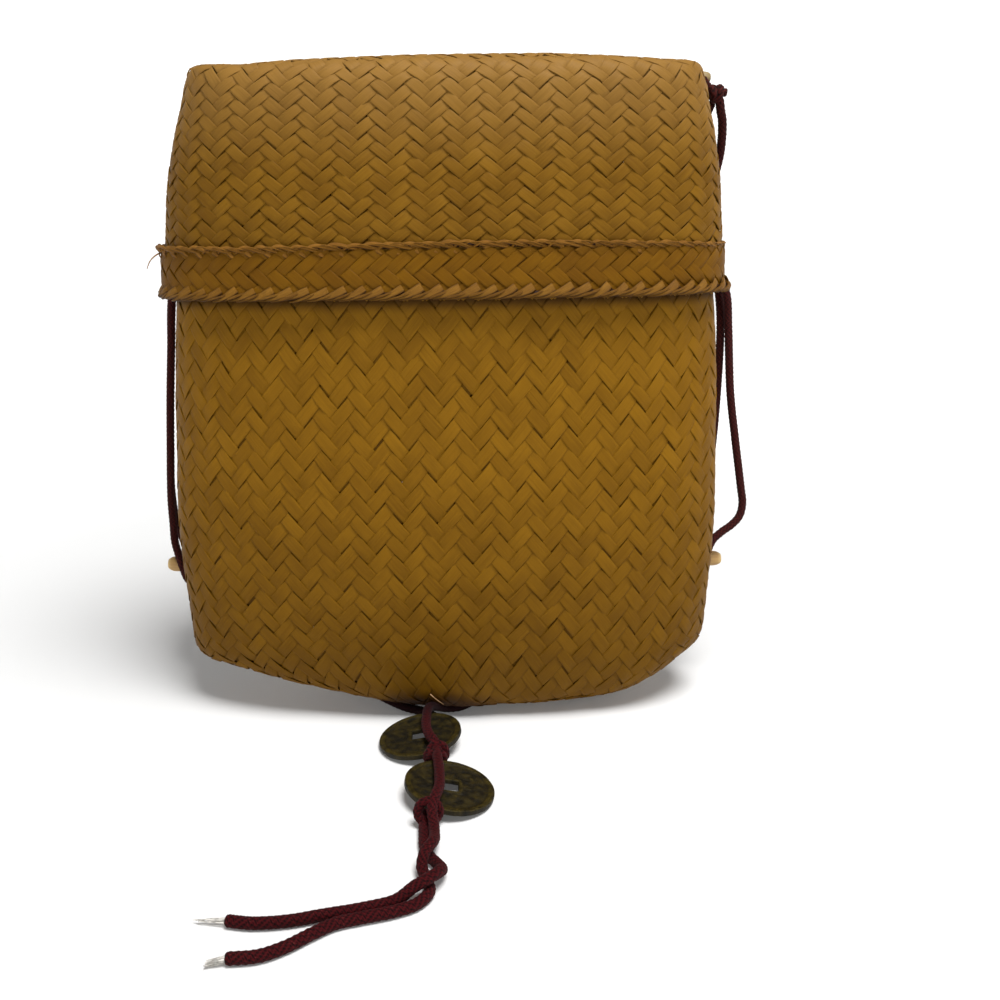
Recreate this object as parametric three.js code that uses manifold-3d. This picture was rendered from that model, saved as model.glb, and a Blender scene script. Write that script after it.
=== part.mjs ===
// Bamboo basket backpack with a sliding lid, cord straps and a corded tail with two coins.
// Millimetres, +Z up, front towards -Y, origin on the floor under the middle of the basket.
import * as THREE from "three";
import { mergeVertices } from "three/addons/utils/BufferGeometryUtils.js";
import Module from "manifold-3d";

// Driving dimensions.
const WALL = 1.5;
const SEAT = 0.3;
const SIDES = 48;
const ROLL_STEPS = 5;
const BASE_LIFT = 18;
const END_PINCH = 2.4;
const LID_TOP = 204;
const LID_DROP = 1.3;
const STRAP_D = 2.7;
const TAIL_D = 3;
const LOWER_STICK = { d: 5.4, left: -98.4, right: 96.4, y: 12, z: 42.6 };
const UPPER_STICK = { d: 3.6, left: -74.4, right: 81, y: 4, z: 199.4 };
const COIN = { d: 26, thick: 1.6, web: 1.1, rim: 2, hole: 6 };

// Plan sections: height, half width, half depth, squareness of the outline. The flat patch under the
// base lies a little to the right, at x.
const BASE_ROWS = [
  { z: 24, a: 87.8, b: 29.2, n: 2.5 },
  { z: 34, a: 88.3, b: 30.3, n: 2.5 },
  { z: 50, a: 89, b: 31, n: 2.5 },
  { z: 72, a: 89, b: 31, n: 2.5 },
  { z: 105, a: 87.2, b: 30.2, n: 2.5 },
  { z: 135.6, a: 84.3, b: 29.3, n: 2.5 },
  { z: 152, a: 82.2, b: 28.7, n: 2.5 },
  { z: 172, a: 78.8, b: 27.6, n: 2.5 },
];
const BASE_EDGE = { a: 87.6, b: 29.2, n: 2.6 };
const BASE_FLAT = { a: 40, b: 13, n: 2.2, x: 12 };
const LID_ROWS = [
  { z: 135.6, a: 86.6, b: 31.5, n: 2.5 },
  { z: 152, a: 85.7, b: 31.1, n: 2.5 },
  { z: 166, a: 84.2, b: 30.7, n: 2.6 },
  { z: 178, a: 81.8, b: 30, n: 2.9 },
  { z: 188, a: 79, b: 29, n: 3.3 },
  { z: 196, a: 76.2, b: 27.8, n: 3.8 },
];
const LID_EDGE = { a: 75, b: 26.4, n: 4.2 };
const LID_FLAT = { a: 62, b: 17, n: 2.6 };

// Rings round the lid's mouth: outward offset from the lid and height, once round the section.
const BAND = [
  { out: 0.3, z: 140.4 },
  { out: 1.4, z: 140.4 },
  { out: 1.4, z: 149.8 },
  { out: 0.3, z: 149.8 },
];
const RIM_BRAID = [
  { out: 0.3, z: 136.1 },
  { out: 1.5, z: 135.5 },
  { out: 2.9, z: 136.5 },
  { out: 2.9, z: 138.9 },
  { out: 1.8, z: 140.1 },
  { out: 0.3, z: 139.9 },
];
const UPPER_BRAID = [
  { out: 0.3, z: 150.3 },
  { out: 1.3, z: 150.1 },
  { out: 2.1, z: 150.9 },
  { out: 2.1, z: 152.1 },
  { out: 1.3, z: 152.9 },
  { out: 0.3, z: 152.7 },
];

// Cord routes, chosen by hand: x, y, z along the middle of each cord.
const RIGHT_STRAP = [
  [84.8, 4.2, 190.6],
  [86.2, 6.4, 187],
  [87.2, 10.2, 179],
  [86.7, 13.8, 171],
  [85.4, 17, 161],
  [86.8, 18.8, 150],
  [91, 18, 141],
  [93.9, 17, 134],
  [95.2, 16.8, 123],
  [97, 15.4, 101],
  [99.2, 14, 86],
  [101.8, 12, 69],
  [102.6, 11.2, 62.8],
  [101.6, 10.4, 58.6],
  [98.8, 9.3, 55.8],
  [95.2, 8.2, 53.6],
  [92.2, 7.2, 51.2],
  [90.5, 6.5, 47.8],
  [89.8, 6.2, 43.4],
  [89.5, 7, 39.6],
  [89.3, 9.4, 37],
  [89.2, 12.6, 36.6],
  [89.4, 16, 38.4],
  [89.8, 17.8, 42.8],
  [90.6, 18.2, 52],
  [92.2, 19.4, 68],
  [93.6, 20, 92],
  [93.2, 20, 126],
  [91.6, 21.6, 138],
  [88, 24, 150],
  [84, 24, 164],
  [82.2, 19.6, 176],
  [81.8, 13, 185],
  [81.9, 8.4, 189.8],
];
const LEFT_STRAP = [
  [-78.4, 14.4, 190.5],
  [-80.8, 15, 181],
  [-84, 16, 168],
  [-87.4, 16.2, 152],
  [-90.4, 15.2, 134],
  [-92, 15, 118],
  [-93.7, 15, 101],
  [-95.2, 15, 83],
  [-96.4, 14.8, 66],
  [-96.4, 14.6, 57],
  [-95.9, 12.8, 51],
  [-94.1, 9.4, 47.2],
  [-92.2, 6.6, 43.4],
  [-91.1, 6.7, 39.6],
  [-90.7, 9.2, 36.9],
  [-90.8, 12.8, 36.4],
  [-91.2, 16.2, 38.2],
  [-92.4, 18, 42.4],
  [-94.6, 18.8, 49.4],
  [-96.8, 19, 59],
  [-97.2, 19, 70],
  [-96.3, 19, 83],
  [-94.8, 19, 101],
  [-93.1, 19.2, 118],
  [-91.6, 19.4, 134],
  [-87.6, 20.6, 152],
  [-82.6, 20.6, 168],
  [-77.4, 20.2, 182],
  [-74.2, 19.4, 190],
];
const LOW_TAIL = [
  [-36, -3, 8],
  [-30, -8.2, 5.2],
  [-22, -13.8, 2.9],
  [-14.5, -18.6, 1.7],
  [-8.4, -21.8, 1.55],
  [-4.8, -25.6, 1.55],
  [-3.9, -31, 1.55],
  [-3.8, -41, 1.55],
  [-3.8, -54.6, 1.55],
  [-5.4, -62, 1.55],
  [-5.8, -70, 1.55],
  [-6.4, -79, 1.55],
  [-7.1, -85, 1.55],
  [-7, -90, 1.55],
  [-6.8, -95, 1.55],
  [-5.4, -99.5, 1.55],
  [-3.4, -103, 1.8],
  [-2.2, -106.5, 2.8],
  [-3, -109.9, 4.4],
  [-5.4, -113, 5],
  [-9, -114.8, 3.9],
  [-13.2, -116.8, 1.8],
  [-21, -119.4, 1.55],
  [-30.2, -121.6, 1.55],
  [-38.4, -123.6, 1.55],
  [-46.6, -124.2, 1.55],
  [-53, -123.2, 1.55],
];
const HIGH_TAIL = [
  [17, -7.4, 7.6],
  [12.4, -12.2, 4.4],
  [7.8, -16.2, 2.4],
  [3.2, -19, 1.8],
  [-1, -21.2, 2.7],
  [-4.2, -24.2, 4.8],
  [-6.2, -27.8, 6.5],
  [-7, -32, 7],
  [-7.2, -36.4, 7],
  [-7.2, -41, 6.9],
  [-6.2, -46.6, 7],
  [-4.6, -51, 7.2],
  [-3.8, -54.2, 6.3],
  [-3.7, -57, 6.4],
  [-3.6, -59.6, 6.9],
  [-3.2, -64, 7],
  [-2.9, -70.7, 7],
  [-3, -76, 7.1],
  [-4, -80.8, 7.3],
  [-4.9, -84.8, 6],
  [-4.4, -88.4, 3.6],
  [-4.2, -92, 3.1],
  [-4.2, -95.6, 3.9],
  [-5, -99.4, 5.1],
  [-6.6, -102.6, 4.7],
  [-7.2, -105.6, 2.8],
  [-5.8, -109.6, 1.6],
  [-5.2, -113.4, 1.55],
  [-8, -117.8, 1.55],
  [-13, -120.4, 1.55],
  [-21.2, -122.8, 1.55],
  [-27.2, -124.7, 1.55],
  [-32.4, -128.2, 1.55],
  [-37.6, -132.2, 1.55],
  [-43.2, -135, 1.55],
  [-50.5, -135.8, 1.55],
];

// Coins and their knots: middle, lean about the y axis (a positive lean lowers the right side).
const COINS = [
  { name: "coin_upper", x: -9.1, y: -40.8, z: 3.3, lean: -10 },
  { name: "coin_lower", x: -0.1, y: -70.2, z: 3.3, lean: 10 },
];
const COIN_KNOTS = [
  { name: "coin_knot_upper", x: -3.8, y: -54.6, z: 4.6 },
  { name: "coin_knot_lower", x: -6, y: -84.4, z: 4.6 },
];
const COIN_KNOT = { wide: 8.2, deep: 6, high: 8.8 };
const STRAP_KNOT = { x: 82.9, y: 4, z: 194.8, wide: 5.4, deep: 6.4, high: 5.8 };
const CORES = [
  { name: "frayed_core_a", from: [-53.36, -123.1, 1.55], to: [-61.4, -122.4, 1], d0: 1.8, d1: 0.6 },
  { name: "frayed_core_b", from: [-50.88, -135.84, 1.55], to: [-55.2, -137, 1.2], d0: 2.2, d1: 1.5 },
];

const BAMBOO = { color: 0x8a632b, roughness: 0.55, metalness: 0 };
const BRAID = { color: 0x7d5420, roughness: 0.6, metalness: 0 };
const STICK = { color: 0xb08c50, roughness: 0.6, metalness: 0 };
const CORD = { color: 0x3a1218, roughness: 0.85, metalness: 0 };
const COIN_METAL = { color: 0x3c3418, roughness: 0.5, metalness: 0.8 };
const CORE = { color: 0xb9b4ab, roughness: 0.9, metalness: 0 };

const wasm = await Module();
wasm.setup();

function power(value, exponent) {
  return Math.sign(value) * Math.abs(value) ** exponent;
}

// Points evenly spaced round a rounded outline, from the middle of the front and towards +X.
function outline({ a, b, n }, count = SIDES) {
  const fine = [];
  for (let i = 0; i <= 720; i += 1) {
    const angle = -Math.PI / 2 + (i / 720) * 2 * Math.PI;
    fine.push([a * power(Math.cos(angle), 2 / n), b * power(Math.sin(angle), 2 / n)]);
  }
  const along = [0];
  for (let i = 1; i < fine.length; i += 1) {
    const step = Math.hypot(fine[i][0] - fine[i - 1][0], fine[i][1] - fine[i - 1][1]);
    along.push(along[i - 1] + step);
  }
  const points = [];
  let k = 1;
  for (let i = 0; i < count; i += 1) {
    const want = (i / count) * along[720];
    while (along[k] < want) k += 1;
    const t = (want - along[k - 1]) / (along[k] - along[k - 1]);
    points.push([
      fine[k - 1][0] + t * (fine[k][0] - fine[k - 1][0]),
      fine[k - 1][1] + t * (fine[k][1] - fine[k - 1][1]),
    ]);
  }
  return points;
}

// The section of a table of rows at a height, with straight steps between the rows.
function sectionAt(rows, z) {
  let i = 1;
  while (i < rows.length - 1 && rows[i].z < z) i += 1;
  const low = rows[i - 1];
  const high = rows[i];
  const t = (z - low.z) / (high.z - low.z);
  return {
    a: low.a + t * (high.a - low.a),
    b: low.b + t * (high.b - low.b),
    n: low.n + t * (high.n - low.n),
  };
}

function grown(section, by) {
  return { ...section, a: section.a + by, b: section.b + by };
}

function level(section, z) {
  const side = section.x ?? 0;
  return outline(section).map(([x, y]) => new THREE.Vector3(x + side, y, z));
}

// Rings that curve from a wall section over an edge section to a flat patch.
// The edge is lifted and drawn sharper towards the two narrow ends.
function rollRings(wall, wallZ, edge, edgeZ, lift, flat, flatZ) {
  const from = level(wall, wallZ);
  const over = outline(edge);
  const to = level(flat, flatZ);
  const rings = [];
  for (let s = 1; s <= ROLL_STEPS; s += 1) {
    const t = s / ROLL_STEPS;
    rings.push(
      from.map((p, i) => {
        const end = (over[i][0] / edge.a) ** 2;
        const weight = 1 + END_PINCH * end * end;
        const mid = new THREE.Vector3(over[i][0], over[i][1], edgeZ + lift * end);
        const w0 = (1 - t) ** 2;
        const w1 = 2 * weight * t * (1 - t);
        const w2 = t ** 2;
        return p
          .clone()
          .multiplyScalar(w0)
          .addScaledVector(mid, w1)
          .addScaledVector(to[i], w2)
          .divideScalar(w0 + w1 + w2);
      }),
    );
  }
  return rings;
}

// A closed skin over a row of rings, each ring joined to the next and both ends closed to a point.
function skin(rings, firstTip, lastTip) {
  const count = rings[0].length;
  const position = [];
  const index = [];
  for (const ring of rings) for (const p of ring) position.push(p.x, p.y, p.z);
  for (let r = 0; r + 1 < rings.length; r += 1) {
    for (let i = 0; i < count; i += 1) {
      const j = (i + 1) % count;
      const p = r * count;
      const q = p + count;
      index.push(p + i, p + j, q + j, p + i, q + j, q + i);
    }
  }
  const first = position.length / 3;
  position.push(firstTip.x, firstTip.y, firstTip.z, lastTip.x, lastTip.y, lastTip.z);
  const end = (rings.length - 1) * count;
  for (let i = 0; i < count; i += 1) {
    const j = (i + 1) % count;
    index.push(first, j, i, first + 1, end + i, end + j);
  }
  return geometryOf(position, index);
}

function geometryOf(position, index) {
  const geometry = new THREE.BufferGeometry();
  geometry.setAttribute("position", new THREE.Float32BufferAttribute(position, 3));
  geometry.setIndex(index);
  return geometry;
}

// The open shell of the base: up the outside from the flat underside, and down the inside.
function baseShell() {
  const foot = BASE_ROWS[0];
  const outer = rollRings(foot, foot.z, BASE_EDGE, 0, BASE_LIFT, BASE_FLAT, 0).reverse();
  for (const row of BASE_ROWS) outer.push(level(row, row.z));
  const inner = [...BASE_ROWS].reverse().map((row) => level(grown(row, -WALL), row.z));
  const floor = rollRings(
    grown(foot, -WALL),
    foot.z,
    grown(BASE_EDGE, -WALL),
    WALL,
    BASE_LIFT,
    grown(BASE_FLAT, -WALL),
    WALL,
  );
  const tip = new THREE.Vector3(BASE_FLAT.x, 0, 0);
  return skin([...outer, ...inner, ...floor], tip, new THREE.Vector3(BASE_FLAT.x, 0, WALL));
}

// The lid's shell: down the inside from the flat top to the mouth, and up the outside.
function lidShell() {
  const top = LID_ROWS[LID_ROWS.length - 1];
  const ceiling = LID_TOP - WALL;
  const inside = rollRings(
    grown(top, -WALL),
    top.z,
    grown(LID_EDGE, -WALL),
    ceiling,
    -LID_DROP,
    grown(LID_FLAT, -WALL),
    ceiling,
  ).reverse();
  const inner = [...LID_ROWS].reverse().map((row) => level(grown(row, -WALL), row.z));
  const outer = LID_ROWS.map((row) => level(row, row.z));
  const outside = rollRings(top, top.z, LID_EDGE, LID_TOP, -LID_DROP, LID_FLAT, LID_TOP);
  const rings = [...inside, ...inner, ...outer, ...outside];
  return skin(rings, new THREE.Vector3(0, 0, ceiling), new THREE.Vector3(0, 0, LID_TOP));
}

// A closed ring round the lid with the given section.
function lidRing(section) {
  const loops = section.map(({ out, z }) => level(grown(sectionAt(LID_ROWS, z), out), z));
  const position = [];
  const index = [];
  for (const loop of loops) for (const p of loop) position.push(p.x, p.y, p.z);
  for (let r = 0; r < loops.length; r += 1) {
    const p = r * SIDES;
    const q = ((r + 1) % loops.length) * SIDES;
    for (let i = 0; i < SIDES; i += 1) {
      const j = (i + 1) % SIDES;
      index.push(p + i, p + j, q + j, p + i, q + j, q + i);
    }
  }
  return geometryOf(position, index);
}

// A round cord of eight sides along a route, or the room that it needs if extra is given.
function cord(route, diameter, extra = 0, spacing = 2) {
  const points = route.map((p) => new THREE.Vector3(...p));
  const path = new THREE.CatmullRomCurve3(points, false, "centripetal");
  const steps = Math.round(path.getLength() / (spacing * diameter));
  const radius = diameter / 2 + extra;
  const section = new THREE.Shape();
  for (let i = 0; i < 8; i += 1) {
    const angle = (i / 8) * 2 * Math.PI;
    const x = radius * Math.cos(angle);
    const y = radius * Math.sin(angle);
    if (i === 0) section.moveTo(x, y);
    else section.lineTo(x, y);
  }
  section.closePath();
  return new THREE.ExtrudeGeometry(section, { steps, extrudePath: path, bevelEnabled: false });
}

function rodAlongX({ d, left, right, y, z }, extra = 0, ends = 0) {
  const rod = new THREE.CylinderGeometry(d / 2 + extra, d / 2 + extra, right - left + 2 * ends, 16);
  return rod.rotateZ(Math.PI / 2).translate((left + right) / 2, y, z);
}

function lump({ x, y, z, wide, deep, high }, around = 12, rows = 7) {
  const ball = new THREE.SphereGeometry(0.5, around, rows);
  return ball.scale(wide, deep, high).translate(x, y, z);
}

function solid(geometry) {
  const bare = geometry.clone();
  bare.deleteAttribute("normal");
  bare.deleteAttribute("uv");
  const merged = mergeVertices(bare, 1e-4);
  const mesh = new wasm.Mesh({
    numProp: 3,
    vertProperties: new Float32Array(merged.attributes.position.array),
    triVerts: new Uint32Array(merged.index.array),
  });
  return new wasm.Manifold(mesh);
}

function geometryFrom(manifold) {
  const mesh = manifold.getMesh();
  return geometryOf(Array.from(mesh.vertProperties), Array.from(mesh.triVerts));
}

// A coin with a raised rim on both faces and a square hole.
function coin() {
  const r = COIN.d / 2;
  const web = COIN.web / 2;
  const rim = COIN.thick / 2;
  const profile = [
    [0, -web],
    [r - COIN.rim - 0.3, -web],
    [r - COIN.rim, -rim],
    [r, -rim],
    [r, rim],
    [r - COIN.rim, rim],
    [r - COIN.rim - 0.3, web],
    [0, web],
  ].map(([x, y]) => new THREE.Vector2(x, y));
  const disc = new THREE.LatheGeometry(profile, 28).rotateX(Math.PI / 2);
  const hole = new THREE.BoxGeometry(COIN.hole, COIN.hole, 4 * COIN.thick);
  return geometryFrom(solid(disc).subtract(solid(hole)));
}

// The room that the cords and the coins take on the table.
function roomOnTable() {
  const rooms = [LOW_TAIL, HIGH_TAIL].map((route) => solid(cord(route, TAIL_D, SEAT)));
  for (const { x, y, z, lean } of COINS) {
    const r = COIN.d / 2 + SEAT;
    const disc = new THREE.CylinderGeometry(r, r, COIN.thick + 2 * SEAT, 32).rotateX(Math.PI / 2);
    rooms.push(solid(disc.rotateY((lean * Math.PI) / 180).translate(x, y, z)));
  }
  return rooms;
}

// A wrap of cord over both tail cords, open where they pass through it.
function coinKnot(at) {
  let wrap = solid(lump({ ...at, ...COIN_KNOT }));
  for (const room of roomOnTable()) wrap = wrap.subtract(room);
  return geometryFrom(wrap);
}

// The knot under the end of the upper stick, with its neck and its cut stub.
function strapKnot() {
  const { x, y, z } = STRAP_KNOT;
  const neck = cord([[x, y, z], [x - 1.6, y, z + 0.6], [x - 3, y, z + 1]], STRAP_D, 0, 0.8);
  const stub = cord([[x, y, z], [x + 1.6, y - 0.4, z + 0.6], [x + 3.2, y - 0.8, z + 0.4]], STRAP_D, 0, 0.8);
  return geometryFrom(solid(lump(STRAP_KNOT)).add(solid(neck)).add(solid(stub)));
}

function core({ from, to, d0, d1 }) {
  const a = new THREE.Vector3(...from);
  const b = new THREE.Vector3(...to);
  const along = b.clone().sub(a);
  const turn = new THREE.Quaternion().setFromUnitVectors(
    new THREE.Vector3(0, 1, 0),
    along.clone().normalize(),
  );
  const cone = new THREE.CylinderGeometry(d1 / 2, d0 / 2, along.length(), 8);
  const middle = a.add(b).multiplyScalar(0.5);
  return cone.applyQuaternion(turn).translate(middle.x, middle.y, middle.z);
}

const part = new THREE.Group();

function put(name, geometry, look) {
  const mesh = new THREE.Mesh(geometry, new THREE.MeshStandardMaterial(look));
  mesh.name = name;
  part.add(mesh);
  return mesh;
}

const lowerHole = solid(rodAlongX(LOWER_STICK, SEAT, 5));
const upperHole = solid(rodAlongX(UPPER_STICK, SEAT, 5));
const baseSolid = solid(baseShell())
  .subtract(lowerHole)
  .subtract(solid(cord(LOW_TAIL, TAIL_D, SEAT)))
  .subtract(solid(cord(HIGH_TAIL, TAIL_D, SEAT)));

put("base_basket", geometryFrom(baseSolid), BAMBOO);
put("lid", geometryFrom(solid(lidShell()).subtract(upperHole)), BAMBOO);
put("lid_band", lidRing(BAND), BAMBOO);
put("lid_upper_braid", lidRing(UPPER_BRAID), BRAID);
put("lid_rim_braid", lidRing(RIM_BRAID), BRAID);
put("lower_stick", rodAlongX(LOWER_STICK), STICK);
put("upper_stick", rodAlongX(UPPER_STICK), STICK);
put("strap_right", cord(RIGHT_STRAP, STRAP_D), CORD);
put("strap_left", cord(LEFT_STRAP, STRAP_D), CORD);
put("strap_knot", strapKnot(), CORD);
put("tail_low", cord(LOW_TAIL, TAIL_D), CORD);
put("tail_high", cord(HIGH_TAIL, TAIL_D), CORD);
for (const { name, x, y, z, lean } of COINS) {
  const mesh = put(name, coin(), COIN_METAL);
  mesh.position.set(x, y, z);
  mesh.rotation.y = (lean * Math.PI) / 180;
}
for (const at of COIN_KNOTS) put(at.name, coinKnot(at), CORD);
for (const at of CORES) put(at.name, core(at), CORE);

export default part;
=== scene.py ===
"""Looks of the bamboo basket backpack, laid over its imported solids.

Tables are in millimetres, with +Z up and the front towards -Y.
"""

import math

import bpy
import numpy as np
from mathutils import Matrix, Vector
from mathutils.bvhtree import BVHTree


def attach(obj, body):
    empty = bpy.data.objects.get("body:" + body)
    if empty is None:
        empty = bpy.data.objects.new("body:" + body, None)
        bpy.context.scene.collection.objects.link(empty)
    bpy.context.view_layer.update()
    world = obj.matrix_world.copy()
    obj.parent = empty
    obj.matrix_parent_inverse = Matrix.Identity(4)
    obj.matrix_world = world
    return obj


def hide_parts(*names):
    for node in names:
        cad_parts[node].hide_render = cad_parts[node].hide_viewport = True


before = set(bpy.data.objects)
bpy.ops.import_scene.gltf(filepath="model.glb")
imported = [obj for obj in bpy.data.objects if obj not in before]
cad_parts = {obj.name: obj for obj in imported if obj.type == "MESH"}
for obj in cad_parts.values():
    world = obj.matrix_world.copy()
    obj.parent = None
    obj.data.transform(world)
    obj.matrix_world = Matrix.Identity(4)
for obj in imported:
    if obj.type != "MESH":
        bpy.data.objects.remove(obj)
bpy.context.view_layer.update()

MM = 0.001
rng = np.random.default_rng(11)

# Plan sections of the two walls: height, half width, half depth, squareness.
BASE_ROWS = np.array([
    (24, 87.8, 29.2, 2.5), (34, 88.3, 30.3, 2.5), (50, 89, 31, 2.5), (72, 89, 31, 2.5),
    (105, 87.2, 30.2, 2.5), (135.6, 84.3, 29.3, 2.5), (152, 82.2, 28.7, 2.5), (172, 78.8, 27.6, 2.5),
])
LID_ROWS = np.array([
    (135.6, 86.6, 31.5, 2.5), (152, 85.7, 31.1, 2.5), (166, 84.2, 30.7, 2.6), (178, 81.8, 30, 2.9),
    (188, 79, 29, 3.3), (196, 76.2, 27.8, 3.8),
])
# What each wall rolls over: half width, half depth and squareness of an edge, and the same of a flat patch
# with its shift across. The base's edge rises at its narrow ends, and the lid's drops there.
BASE_EDGE, BASE_FLAT, BASE_LIFT = (87.6, 25.6, 2.6), (40, 13, 2.2, 12), 18
LID_EDGE, LID_FLAT, LID_TOP, LID_DROP = (75, 26.4, 4.2), (62, 17, 2.6, 0), 204, 1.3
# How sharply the rolled edges turn: at the right end, at the left ends, and along the base's front.
END_PINCH, BASE_LEFT_PINCH, LID_LEFT_PINCH, FOLD_PINCH = 2.4, 4.2, 3.3, 1.2
# How far the lid's upper left corner is drawn in, and the height where that starts.
LEFT_LEAN, LEAN_START = 1.5, 166
# Where the underside is pressed up and the top stands or sags: place across, rise.
UNDERSIDE_SAG = (
    (-88, -1), (-80, 0.2), (-73, 1.8), (-62, 2.8), (-45, 3.1), (-32, 2.7), (-24, 2.2), (-15, 1.7),
    (-6, 1.7), (4, 1.5), (10, 1.4), (18, 1.8), (28, 0.8), (36, 0.2), (46, -0.9), (54, -2), (62, -2),
    (70, -1), (78, 1.2), (88, 2),
)
TOP_SAG = ((-76, 0), (-57, -1.6), (-42, -0.9), (-10, -0.2), (30, 0), (50, -0.6), (62, -0.9), (76, 0))
# Heights where each of the two starts and where it is whole.
UNDERSIDE_SAG_SPAN, TOP_SAG_SPAN = (46, 12), (182, 202)
# How far the walls swell and dip, and the waves of that: number round, length upwards, phase.
BASE_SWELL, LID_SWELL, BAND_SWELL, EDGE_SWELL = 0.35, 0.3, 0.1, 0.12
UNEVEN = ((3, 19, 0), (7, -13, 1), (13, 9, 2))

# Weaves: strips each way round, rise of a strip per column, width of a strip in its room,
# phase of the columns, height of a strip's bow, its thickness, and how far it lies under the wall.
BASE_NET = dict(count=76, rise=6.5, fill=0.99, shift=0.87, bow=0.38, thick=0.3, sink=0.6)
LID_NET = dict(count=76, rise=4.14, fill=0.99, shift=-0.27, bow=0.46, thick=0.32, sink=0.25)
BAND_NET = dict(count=76, rise=4.5, fill=0.99, shift=1.93, bow=0.36, thick=0.32, sink=0.0)
# The weave of the flat patches under the base and on top of the lid, and the room of a strip there.
BASE_PATCH_NET, BASE_PATCH_STEP = dict(BASE_NET, sink=0.85), 5.3
LID_PATCH_NET, LID_PATCH_STEP = dict(LID_NET, sink=0.7), 5.0
# Rings past the wall where a patch takes over, and how far the base's strips run on there.
BASE_SEAM, LID_SEAM, SEAM_OVERLAP = 18, 11, 3
# Where the base's weave is loose: height and fade of it, place and run across, least and most.
SLACK = dict(height=26, fade=20, x=-22, run=40, least=0.08, most=0.9)
# A height outside the whole object, from which the patches are felt for.
FAR_OFF = 900
# How far the columns start from a wall's mouth, and where the base's and the lid's strips end there.
COLUMN_OFFSET, BASE_MOUTH, LID_MOUTH = 1.5, -1.7, 0.6
# The band: heights of its edges, stand-off from the lid, shift across, and height between its two rows.
BAND = dict(low=137.6, high=151.6, out=0.9, shift=-0.4, middle=8.6)

# Over two strips and under two: place along the strip in strips, and height there.
OVER_UNDER = np.array([
    (0.0, 0.0), (0.25, 0.5), (0.7, 0.95), (1.3, 0.95), (1.75, 0.5), (2.0, 0.0), (2.6, -0.9), (3.4, -0.9),
])
# Strips in one repeat of that, the least step from a strip's end, and the length over which an end sinks in.
REPEAT, LEAST_STEP, TUCK = 4, 0.08, 7
# Strands of the plaited edges: run to the right, rise, stand-off from the lid, half width.
RIM_LEAF = (
    (-8.4, -1.1, 0.0, 0.3), (-6, -0.9, 0.7, 0.5), (-3.8, -0.4, 1.15, 0.8), (-1.6, 0.4, 1.15, 1.15),
    (0.2, 1.2, 0.8, 1.4), (1.6, 2.0, 0.3, 1.35),
)
RIM_STRAND = (
    (-7.4, -1.2, 0.3, 0.3), (-4.4, -0.9, 0.95, 0.4), (-1.6, -0.3, 1.3, 0.45), (1, 0.5, 1.15, 0.42),
    (3, 1.1, 0.4, 0.3),
)
BRAID_STRAND = (
    (-2.4, -0.8, 0.3, 0.35), (-1, 0.3, 0.95, 0.5), (0.8, 0.65, 1.1, 0.6), (2.8, 0.3, 0.95, 0.6),
    (5, -0.25, 0.75, 0.55), (7.4, -0.8, 0.3, 0.4),
)
BRAID_THREAD = (
    (-3, -0.7, 0.4, 0.12), (-0.6, 0.5, 1.25, 0.2), (2, 0.7, 1.45, 0.2), (4.6, 0.1, 1.25, 0.2),
    (7.4, -0.7, 0.6, 0.12),
)
BRAID_TIP = (
    (-2.6, 0.2, 0.1, 0.9), (-1.4, -0.7, 0.55, 0.9), (-0.2, -1.6, 0.6, 0.7), (0.8, -2.3, 0.35, 0.35),
)
# How far the two edges stand above or below level: place across, rise.
RIM_WAVE = ((-90, -0.8), (-50, -0.6), (-10, 0), (90, -0.1))
BRAID_WAVE = ((-90, -0.4), (-50, -0.3), (-20, 0.4), (5, 0.8), (40, 0.6), (65, -0.1), (90, -1.2))
# Strands of each edge: table, place between the strips, thickness, lean, tone.
RIM_SETS = ((RIM_LEAF, 0.5, 0.2, 0.2, 0.35), (RIM_STRAND, 0.86, 0.36, 0.0, 0.1))
BRAID_SETS = (
    (BRAID_STRAND, 0.2, 0.42, 0.0, 0.3), (BRAID_THREAD, 0.5, 0.18, 0.0, 0.6),
    (BRAID_TIP, 0.7, 0.12, 0.0, 0.2),
)
# The core inside each edge, coloured dark all over as painted shade: rise, stand-off, half height, half
# depth.
RIM_CORE, BRAID_CORE = (-0.1, 0.1, 0.95, 0.7), (-0.2, -0.1, 0.55, 0.45)
# Length round the lid, how far its wall is read above and below an edge, and sides of a strand.
LID_GIRTH, EDGE_REACH, STRAND_SIDES = 412, 6, 8
# The two edges: height, stand-off from the lid, shift across.
RIM_PLACE, BRAID_PLACE = (138.6, 1.2, 0.0), (151.6, 0.6, -1.0)
# A loose fibre at the upper braid's left end, and a splinter over the tail cords' way out.
LOOSE_FIBRE = ((-87.6, -0.2, 150.2), (-90.2, -0.6, 149), (-92, -1, 147.2), (-93, -1.2, 145))
SPLINTER = ((-6, -27.8, 11), (-4, -27.1, 8.7), (-1.8, -25.6, 6.2))
# Radii of these two and of a core's filaments, and the lowest that the middle of one lies.
LOOSE_FIBRE_R, SPLINTER_R, CORE_R, FIBRE_LOWEST = 0.3, 0.22, 0.24, 0.3

# Section of a strip: across and up, as shares of its half width and thickness.
STRIP = np.array([
    (-1, -0.5), (1, -0.5), (1, 0.15), (0.93, 0.45), (0.7, 0.5), (-0.7, 0.5), (-0.93, 0.45), (-1, 0.15),
])

STRAP_D, TAIL_D, STRAP_KNOT_D, COIN_KNOT_D = 2.7, 3.0, 2.5, 2.6
# Braid of a cord: strands each way, and diameters along it that one turn of a strand takes.
CORD_STRANDS, CORD_LAY = 6, 3.4
# Sides of each round form, and steps along a cord, a knot, a fibre and a cord's stated route.
CORD_SIDES, KNOT_SIDES, FIBRE_SIDES, STICK_SIDES = 18, 16, 6, 20
CORD_STEP, KNOT_STEP, FIBRE_STEP, ROUTE_STEP = 0.32, 0.3, 0.5, 1.5
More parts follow.
